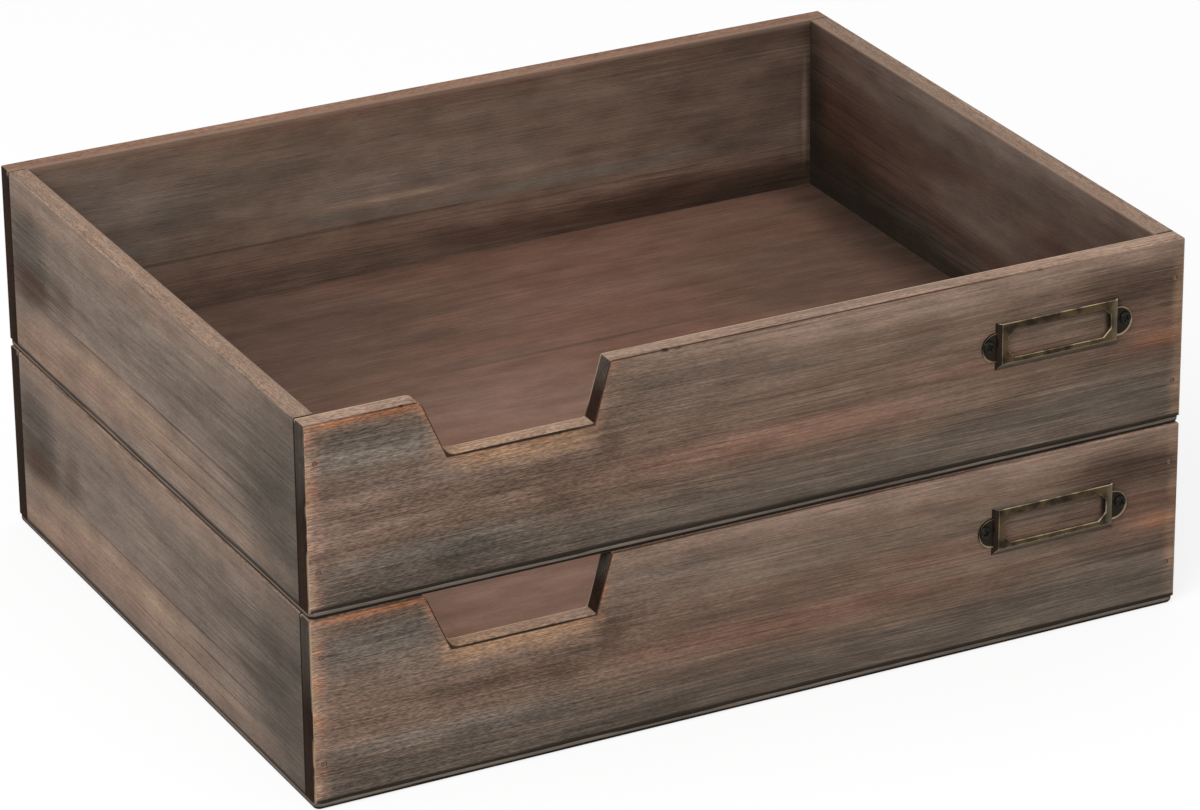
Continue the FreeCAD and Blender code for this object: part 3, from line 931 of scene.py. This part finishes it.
# Least part of a face's normal along an axis for the face to look that way
square_on = 0.9

# Sides of the round outlines, and angles from which edges are bevelled or stay sharp
ear_sides = 64
head_sides = 48
holder_crease = math.radians(30)
slot_crease = math.radians(40)
smooth_limit = math.radians(35)

# Screws: straight share of the shank, width of its tip, and turn of the left and right heads
straight_share = 0.6
tip_share = 0.2
slot_turns = {-1: math.radians(25), 1: math.radians(62)}


def start_model(add, **sizes):
    """Adds a primitive alone in the selection and opens it for modelling."""
    if bpy.context.object and bpy.context.object.mode == "EDIT":
        bpy.ops.object.mode_set(mode="OBJECT")
    bpy.ops.object.select_all(action="DESELECT")
    add(**sizes)
    bpy.ops.object.mode_set(mode="EDIT")
    return bpy.context.object


def pick(kind, test):
    """Selects the vertices, edges or faces of the open mesh that pass a test."""
    bpy.ops.mesh.select_mode(type=kind)
    bpy.ops.mesh.select_all(action="DESELECT")
    mesh = bmesh.from_edit_mesh(bpy.context.object.data)
    for part in {"VERT": mesh.verts, "EDGE": mesh.edges, "FACE": mesh.faces}[kind]:
        if test(part):
            part.select_set(True)
    mesh.select_flush_mode()
    bmesh.update_edit_mesh(bpy.context.object.data)


def push(x=0.0, y=0.0, z=0.0):
    """Moves what is selected."""
    bpy.ops.transform.translate(value=(x, y, z))


def grow(distance):
    """Extrudes the selected faces along Z."""
    bpy.ops.mesh.extrude_region_move(TRANSFORM_OT_translate={"value": (0, 0, distance)})


def finish_with(piece, kind, **settings):
    """Adds a modifier and applies it."""
    bpy.ops.object.mode_set(mode="OBJECT")
    bpy.context.view_layer.objects.active = piece
    modifier = piece.modifiers.new(kind.title(), kind)
    for name, value in settings.items():
        setattr(modifier, name, value)
    bpy.ops.object.modifier_apply(modifier=modifier.name)


def set_on_front(piece, x, y, z):
    """Turns a flat-modelled piece to face the front and moves it to its place on the wood."""
    piece.data.transform(Matrix.Translation((x, y, z)) @ Matrix.Rotation(quarter, 4, "X"))
    piece.data.update()


def join(pieces, name):
    """Makes one piece of several."""
    bpy.ops.object.select_all(action="DESELECT")
    for piece in pieces:
        piece.select_set(True)
    bpy.context.view_layer.objects.active = pieces[0]
    bpy.ops.object.join()
    pieces[0].name = name
    return pieces[0]


def copy_to_tray(piece, name, lift):
    """A copy with its own mesh, lifted to another tray."""
    twin = piece.copy()
    twin.data = piece.data.copy()
    twin.name = name
    twin.data.transform(Matrix.Translation((0, 0, lift)))
    bpy.context.scene.collection.objects.link(twin)
    return twin


def carry(piece, tray, node):
    """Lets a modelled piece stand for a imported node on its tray."""
    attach(piece, f"{tray}_tray")
    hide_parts(f"{tray}_{node}")


def add_finish_slots(piece):
    """Material slots that mark plain, rubbed and sunk faces while a piece is modelled."""
    for name in finishes:
        marker = bpy.data.materials.get(name) or bpy.data.materials.new(name)
        piece.data.materials.append(marker)


def keep_finish(piece, material):
    """Turns the finish slots into an attribute, and gives the piece its material."""
    values = list(finishes.values())
    wear = piece.data.attributes.new("wear", "FLOAT", "CORNER")
    for face in piece.data.polygons:
        for corner in face.loop_indices:
            wear.data[corner].value = values[face.material_index]
        face.material_index = 0
    piece.data.materials.clear()
    piece.data.materials.append(material)
    for name in finishes:
        bpy.data.materials.remove(bpy.data.materials[name])


def model_holder_sheet(holder, height, depth):
    """The drawn sheet: three leaning walls, a raised face and its eight-sided window."""
    sheet = start_model(bpy.ops.mesh.primitive_plane_add, size=1)
    add_finish_slots(sheet)
    bpy.ops.transform.resize(value=(holder.length, height, 1))
    grow(depth)
    bpy.ops.transform.resize(
        value=(1 - 2 * holder.side_flare / holder.length, 1, 1), center_override=(0, 0, depth))
    near = holder.edge / 2
    pick("VERT", lambda v: v.co.z > depth - near and v.co.y < 0)
    push(y=holder.bottom_flare)
    pick("FACE", lambda f: f.normal.y > square_on or f.normal.z < -square_on)
    bpy.ops.mesh.delete(type="FACE")
    pick("FACE", lambda f: f.normal.z > square_on)
    bpy.ops.mesh.inset(thickness=holder.side_bar, depth=0)
    top = height / 2 - holder.side_bar
    low = holder.bottom_flare + holder.side_bar - height / 2
    half = holder.length / 2 - holder.side_flare - holder.side_bar

    def at_window(vertex):
        """True on the corners of the window."""
        return vertex.co.z > depth - near and abs(vertex.co.x) < half + near

    pick("VERT", lambda v: at_window(v) and abs(v.co.y - top) < near)
    push(y=holder.side_bar - holder.top_bar)
    pick("VERT", lambda v: at_window(v) and abs(v.co.y - low) < near)
    push(y=holder.bottom_bar - holder.side_bar)
    pick("VERT", at_window)
    bpy.ops.mesh.bevel(
        offset=holder.window_corner, offset_type="OFFSET", segments=1, affect="VERTICES")
    pick("FACE", lambda f: f.normal.z > square_on and len(f.verts) == 8)
    bpy.ops.mesh.delete(type="FACE")
    finish_with(
        sheet, "SOLIDIFY", thickness=holder.sheet, offset=-1.0, use_even_offset=True,
        material_offset_rim=list(finishes).index("rubbed"))
    return sheet


def model_ear(holder, radius, side):
    """A half-round dished ear with a raised rim, rubbed outside and dark inside."""
    ear = start_model(
        bpy.ops.mesh.primitive_circle_add, vertices=ear_sides, radius=radius, fill_type="NGON")
    add_finish_slots(ear)
    pick("FACE", lambda f: True)
    grow(holder.ear_height)
    ear.active_material_index = list(finishes).index("rubbed")
    bpy.ops.object.material_slot_assign()
    bpy.ops.mesh.inset(thickness=holder.ear_rim, depth=-holder.ear_dish)
    ear.active_material_index = list(finishes).index("sunk")
    bpy.ops.object.material_slot_assign()
    bpy.ops.mesh.select_all(action="SELECT")
    bpy.ops.mesh.bisect(
        plane_co=(0, 0, 0), plane_no=(-side, 0, 0), use_fill=True, clear_outer=True)
    pick("VERT", lambda v: abs(v.co.x) < holder.edge / 2)
    push(x=-side * holder.sheet)
    bpy.ops.mesh.select_all(action="SELECT")
    push(x=side * holder.length / 2)
    bpy.ops.mesh.normals_make_consistent(inside=False)
    bpy.ops.object.mode_set(mode="OBJECT")
    return ear


def model_card_holder(tray):
    """The card holder of one tray: sheet and two ears with rubbed edges."""
    holder = bpy.context.scene.card_holder
    low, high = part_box(f"{tray}_label_frame")
    pieces = [model_holder_sheet(holder, high.z - low.z, high.y - low.y)]
    radius = (high.x - low.x - holder.length) / 2
    pieces += [model_ear(holder, radius, side) for side in (-1, 1)]
    piece = join(pieces, f"{tray}_card_holder")
    finish_with(
        piece, "BEVEL", width=holder.edge, segments=2, limit_method="ANGLE",
        angle_limit=holder_crease, material=list(finishes).index("rubbed"))
    keep_finish(piece, brass_material(holder, (low.x + high.x) / 2, high.y))
    bpy.ops.object.shade_smooth_by_angle(angle=holder_crease)
    set_on_front(piece, (low.x + high.x) / 2, high.y, (low.z + high.z) / 2)
    return piece


def model_screw(seat_to_tip):
    """A pan-head screw with a cross slot on a pointed shank, head up, seat at zero."""
    screw = bpy.context.scene.holder_screw
    half = screw.head_height / 2
    near = screw.dome / 10
    body = start_model(
        bpy.ops.mesh.primitive_cylinder_add, vertices=head_sides, radius=screw.head / 2,
        depth=screw.head_height, location=(0, 0, half))
    pick("EDGE", lambda e: all(vertex.co.z > half - near for vertex in e.verts))
    bpy.ops.mesh.bevel(offset=screw.dome, offset_type="OFFSET", segments=6, affect="EDGES")
    pick("FACE", lambda f: f.normal.z < -square_on)
    bpy.ops.mesh.inset(thickness=(screw.head - screw.shank) / 2, depth=0)
    grow(-straight_share * seat_to_tip)
    grow(-(1 - straight_share) * seat_to_tip)
    bpy.ops.transform.resize(value=(tip_share, tip_share, 1))
    bpy.ops.object.mode_set(mode="OBJECT")
    cross = ((screw.slot_length, screw.slot_width), (screw.slot_width, screw.slot_length))
    for length, width in cross:
        slot = start_model(
            bpy.ops.mesh.primitive_cube_add, size=1, location=(0, 0, screw.head_height))
        bpy.ops.transform.resize(value=(length, width, 2 * screw.slot_depth))
        finish_with(body, "BOOLEAN", operation="DIFFERENCE", solver="EXACT", object=slot)
        bpy.data.objects.remove(slot)
    finish_with(
        body, "BEVEL", width=screw.slot_width / 6, segments=2, limit_method="ANGLE",
        angle_limit=slot_crease)
    bpy.ops.object.select_all(action="DESELECT")
    body.select_set(True)
    bpy.ops.object.shade_smooth_by_angle(angle=smooth_limit)
    return body


def model_holder_screws(tray):
    """Both screws of one card holder, each turned its own way."""
    screw = bpy.context.scene.holder_screw
    low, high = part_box(f"{tray}_label_screws")
    seat = low.y + screw.head_height
    reach = (high.x - low.x - screw.head) / 2
    pieces = []
    for side, turn in slot_turns.items():
        piece = model_screw(high.y - seat)
        piece.data.transform(Matrix.Rotation(turn, 4, "Z"))
        set_on_front(piece, (low.x + high.x) / 2 + side * reach, seat, (low.z + high.z) / 2)
        pieces.append(piece)
    both = join(pieces, f"{tray}_holder_screws")
    both.data.materials.clear()
    both.data.materials.append(screw_material())
    return both


def brass_material(holder, middle, wood):
    """Dark patina over brass: rubbed edges, ears dark with patina, a painted dark reflection on the
    left side wall, and dust with a painted floor reflection on the lower wall.
    """
    material, tree, shader = new_material(
        "antique_brass_patina", specular=0.5, roughness=0.4)
    source = add_node(tree, "ShaderNodeTexCoord").outputs
    place = source["Object"]
    along, depth, _ = split(tree, place)
    facing = split(tree, source["Normal"])
    cloud = add_noise(tree, place, seed=0.0, scale=160.0, detail=3.0)
    fine = add_noise(tree, place, seed=3.0, scale=2200.0, roughness=0.6)
    tone = add_mix(
        tree, add_ramp(tree, cloud, 0.35, 0.60), paint(holder.shadow), paint(holder.patina))
    # Painted dark reflection: faces turned to the left are darkened.
    left = add_ramp(tree, facing[0], -0.4, -0.7, end=0.92)
    tone = add_mix(tree, left, tone, paint(holder.shadow))
    # Faces turned down get dust and a painted reflection of the white floor.
    low = add_ramp(tree, facing[2], -0.3, -0.55, end=0.75)
    tone = add_mix(tree, low, tone, paint(holder.dust_and_reflection))
    right = add_ramp(
        tree, along, middle + 0.40 * holder.length, middle + 0.47 * holder.length, end=0.45)
    tone = add_mix(tree, right, tone, paint(holder.dust_and_reflection))
    wear = add_node(tree, "ShaderNodeAttribute", attribute_name="wear").outputs["Fac"]
    sunk = add_math(tree, "MULTIPLY", wear, -1.0)
    tone = add_mix(tree, sunk, tone, paint(holder.shadow))
    patchy = add_ramp(tree, cloud, 0.36, 0.58, start=0.30)
    rubbed = add_math(tree, "MULTIPLY", wear, patchy, clamp=True)
    clear_of_wood = add_ramp(
        tree, depth, wood - 0.2 * holder.ear_height, wood - 2.0 * holder.ear_height)
    rubbed = add_math(tree, "MULTIPLY", rubbed, clear_of_wood)
    tone = add_mix(tree, rubbed, tone, paint(holder.bright))
    tree.links.new(tone, shader.inputs["Base Color"])
    roughness = add_ramp(tree, cloud, 0.3, 0.7, start=0.46, end=0.30)
    tree.links.new(roughness, shader.inputs["Roughness"])
    metallic = add_math(tree, "MULTIPLY_ADD", rubbed, -0.5, 0.9)
    tree.links.new(metallic, shader.inputs["Metallic"])
    bump = add_node(
        tree, "ShaderNodeBump", {"Strength": 0.25, "Distance": 0.0001, "Height": fine})
    tree.links.new(bump.outputs[0], shader.inputs["Normal"])
    return material


def screw_material():
    """Black oxide on the screws."""
    screw = bpy.context.scene.holder_screw
    material, tree, shader = new_material("black_oxide", specular=0.12, roughness=0.35)
    source = add_node(tree, "ShaderNodeTexCoord").outputs["Object"]
    cloud = add_noise(tree, source, seed=4.0, scale=900.0, detail=3.0, roughness=0.6)
    tone = add_mix(
        tree, add_ramp(tree, cloud, 0.5, 0.75), paint(screw.oxide), paint(screw.grease))
    tree.links.new(tone, shader.inputs["Base Color"])
    roughness = add_ramp(tree, cloud, 0.3, 0.7, start=0.28, end=0.5)
    tree.links.new(roughness, shader.inputs["Roughness"])
    return material


def brad_material():
    """Brad heads stained over with the wood."""
    material, tree, shader = new_material("stained_brad_steel", specular=0.1, roughness=0.6)
    palette = bpy.context.scene.tray_stains
    source = add_node(tree, "ShaderNodeTexCoord").outputs["Object"]
    cloud = add_noise(tree, source, seed=8.0, scale=1500.0, detail=3.0, roughness=0.6)
    tone = add_mix(tree, cloud, paint(palette.brad_dark), paint(palette.brad_light))
    tree.links.new(tone, shader.inputs["Base Color"])
    roughness = add_ramp(tree, cloud, 0.3, 0.7, start=0.45, end=0.75)
    tree.links.new(roughness, shader.inputs["Roughness"])
    return material


# Stage

def white_to_the_eye(tree):
    """One for the rays that show the background, straight or in a reflection."""
    path = add_node(tree, "ShaderNodeLightPath").outputs
    seen = add_math(tree, "MAXIMUM", path["Is Camera Ray"], path["Is Glossy Ray"])
    return add_math(tree, "MAXIMUM", seen, path["Is Transmission Ray"])


def floor_material(stage):
    """A white floor that keeps the shadow of the trays."""
    material = bpy.data.materials.new("studio_floor")
    material.use_nodes = True
    tree = material.node_tree
    tree.nodes.clear()
    seen = white_to_the_eye(tree)
    shade = add_mix(tree, seen, paint(stage.floor_bounce), paint(stage.floor_seen))
    matt = add_node(tree, "ShaderNodeBsdfDiffuse", {"Color": shade})
    glow = add_node(tree, "ShaderNodeEmission", {"Color": (1, 1, 1, 1), "Strength": 1.0})
    share = add_math(tree, "MULTIPLY", seen, stage.floor_white)
    both = add_node(
        tree, "ShaderNodeMixShader", {0: share, 1: matt.outputs[0], 2: glow.outputs[0]})
    add_node(tree, "ShaderNodeOutputMaterial", {"Surface": both.outputs[0]})
    return material


def lay_floor(stage):
    """The floor under the stack."""
    bpy.ops.object.select_all(action="DESELECT")
    bpy.ops.mesh.primitive_plane_add(size=stage.floor_size, location=(0, 0, 0))
    floor = bpy.context.object
    floor.name = "studio_floor"
    floor.data.materials.append(floor_material(stage))


def light_sky(stage):
    """Even light from all round, in front of a white background."""
    world = bpy.data.worlds.new("studio_sky")
    bpy.context.scene.world = world
    world.use_nodes = True
    tree = world.node_tree
    strength = add_math(tree, "MAXIMUM", white_to_the_eye(tree), stage.sky_strength)
    background = tree.nodes["Background"]
    background.inputs["Color"].default_value = (1, 1, 1, 1)
    tree.links.new(strength, background.inputs["Strength"])


def hang_key_lamp(stage, middle):
    """One large soft lamp at the upper left of the camera."""
    place = Vector(stage.key_place)
    bpy.ops.object.light_add(type="AREA", location=middle + place)
    lamp = bpy.context.object
    lamp.name = "key_lamp"
    lamp.data.shape = "DISK"
    lamp.data.size = stage.key_size
    lamp.data.energy = stage.key_power
    lamp.rotation_euler = place.to_track_quat("Z", "Y").to_euler()


def light_inside(stage):
    """A soft lamp inside the lower tray, so that its floor shows through the hand notch."""
    gap = 0.002
    share = 0.85
    low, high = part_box("lower_bottom_panel")
    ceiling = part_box("upper_bottom_panel")[0].z
    bpy.ops.object.light_add(type="AREA", location=(0, 0, ceiling - gap))
    lamp = bpy.context.object
    lamp.name = "inside_lamp"
    lamp.data.shape = "RECTANGLE"
    lamp.data.size = share * (high.x - low.x)
    lamp.data.size_y = share * (high.y - low.y)
    lamp.data.energy = stage.inside_power
    lamp.visible_camera = False


def set_camera(stage, middle):
    """The camera at the photograph's angle."""
    back = Vector((
        -math.sin(stage.turn) * math.cos(stage.rise),
        -math.cos(stage.turn) * math.cos(stage.rise), math.sin(stage.rise)))
    level = Vector((0, 0, 1)).cross(back).normalized()
    down = level.cross(back)
    right = math.cos(stage.roll) * level + math.sin(stage.roll) * down
    down = math.cos(stage.roll) * down - math.sin(stage.roll) * level
    place = middle + back * stage.reach + right * stage.shift_right + down * stage.shift_down
    bpy.ops.object.camera_add()
    camera = bpy.context.object
    camera.name = "studio_camera"
    camera.matrix_world = Matrix.Translation(place) @ Matrix(
        (right, -down, back)).transposed().to_4x4()
    camera.data.sensor_width = 36.0
    camera.data.lens = stage.lens
    camera.data.dof.use_dof = False
    bpy.context.scene.camera = camera


# Operators

def set_on_each_tray(model, name, node):
    """Models a piece for the first tray and copies it to the others."""
    first = tray_names[0]
    piece = model(first)
    carry(piece, first, node)
    for tray in tray_names[1:]:
        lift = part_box(f"{tray}_{node}")[0].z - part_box(f"{first}_{node}")[0].z
        carry(copy_to_tray(piece, f"{tray}_{name}", lift), tray, node)


class DressFronts(bpy.types.Operator):
    """Stain the front panels, with rubbed places round the hand notch"""
    bl_idname = "letter_tray.dress_fronts"
    bl_label = "Dress fronts"

    def execute(self, context):
        dress_boards(("front_panel",))
        return {"FINISHED"}


class DressBacks(bpy.types.Operator):
    """Stain the back panels"""
    bl_idname = "letter_tray.dress_backs"
    bl_label = "Dress backs"

    def execute(self, context):
        dress_boards(("back_panel",))
        return {"FINISHED"}


class DressSides(bpy.types.Operator):
    """Stain the left and right sides"""
    bl_idname = "letter_tray.dress_sides"
    bl_label = "Dress sides"

    def execute(self, context):
        dress_boards(("left_side", "right_side"))
        return {"FINISHED"}


class DressBottoms(bpy.types.Operator):
    """Stain the bottom panels"""
    bl_idname = "letter_tray.dress_bottoms"
    bl_label = "Dress bottoms"

    def execute(self, context):
        dress_boards(("bottom_panel",))
        return {"FINISHED"}


class MakeCardHolders(bpy.types.Operator):
    """Model the stamped card holder once and set a copy on each front"""
    bl_idname = "letter_tray.make_card_holders"
    bl_label = "Make card holders"

    def execute(self, context):
        set_on_each_tray(model_card_holder, "card_holder", "label_frame")
        return {"FINISHED"}


class MakeHolderScrews(bpy.types.Operator):
    """Model the screws of a card holder once and set copies on each front"""
    bl_idname = "letter_tray.make_holder_screws"
    bl_label = "Make holder screws"

    def execute(self, context):
        set_on_each_tray(model_holder_screws, "holder_screws", "label_screws")
        return {"FINISHED"}


class DressBrads(bpy.types.Operator):
    """Stain the brad heads over with the wood"""
    bl_idname = "letter_tray.dress_brads"
    bl_label = "Dress brads"

    def execute(self, context):
        steel = brad_material()
        for tray in tray_names:
            for place in ("front", "back", "bottom"):
                dress(f"{tray}_{place}_brads", steel)
        return {"FINISHED"}


class SetStage(bpy.types.Operator):
    """Floor, soft light and camera"""
    bl_idname = "letter_tray.set_stage"
    bl_label = "Set stage"

    def execute(self, context):
        stage = context.scene.tray_stage
        low, high = construction_box
        middle = Vector((0, 0, (low[2] + high[2]) / 2))
        lay_floor(stage)
        light_sky(stage)
        hang_key_lamp(stage, middle)
        light_inside(stage)
        set_camera(stage, middle)
        context.scene.view_settings.view_transform = "Standard"
        return {"FINISHED"}


class LetterTrayPanel(bpy.types.Panel):
    """Lists the steps that dress the trays"""
    bl_idname = "VIEW3D_PT_letter_trays"
    bl_label = "Letter trays"
    bl_space_type = "VIEW_3D"
    bl_region_type = "UI"
    bl_category = "Letter trays"

    def draw(self, context):
        for operator in operators:
            self.layout.operator(operator.bl_idname)


operators = (
    DressFronts, DressBacks, DressSides, DressBottoms, DressBrads, MakeCardHolders,
    MakeHolderScrews, SetStage)
settings_groups = {
    "tray_stains": WoodStains,
    "tray_grain": WoodGrain,
    "tray_notch": HandNotch,
    "card_holder": CardHolder,
    "holder_screw": HolderScrew,
    "tray_stage": StudioStage,
}


def register():
    for group in settings_groups.values():
        bpy.utils.register_class(group)
    for name, group in settings_groups.items():
        setattr(bpy.types.Scene, name, bpy.props.PointerProperty(type=group))
    for operator in operators:
        bpy.utils.register_class(operator)
    bpy.utils.register_class(LetterTrayPanel)


def unregister():
    bpy.utils.unregister_class(LetterTrayPanel)
    for operator in reversed(operators):
        bpy.utils.unregister_class(operator)
    for name in settings_groups:
        delattr(bpy.types.Scene, name)
    for group in reversed(list(settings_groups.values())):
        bpy.utils.unregister_class(group)


def main():
    register()
    bpy.ops.letter_tray.dress_fronts()
    bpy.ops.letter_tray.dress_backs()
    bpy.ops.letter_tray.dress_sides()
    bpy.ops.letter_tray.dress_bottoms()
    bpy.ops.letter_tray.dress_brads()
    bpy.ops.letter_tray.make_card_holders()
    bpy.ops.letter_tray.make_holder_screws()
    bpy.ops.letter_tray.set_stage()


if __name__ == "__main__":
    main()
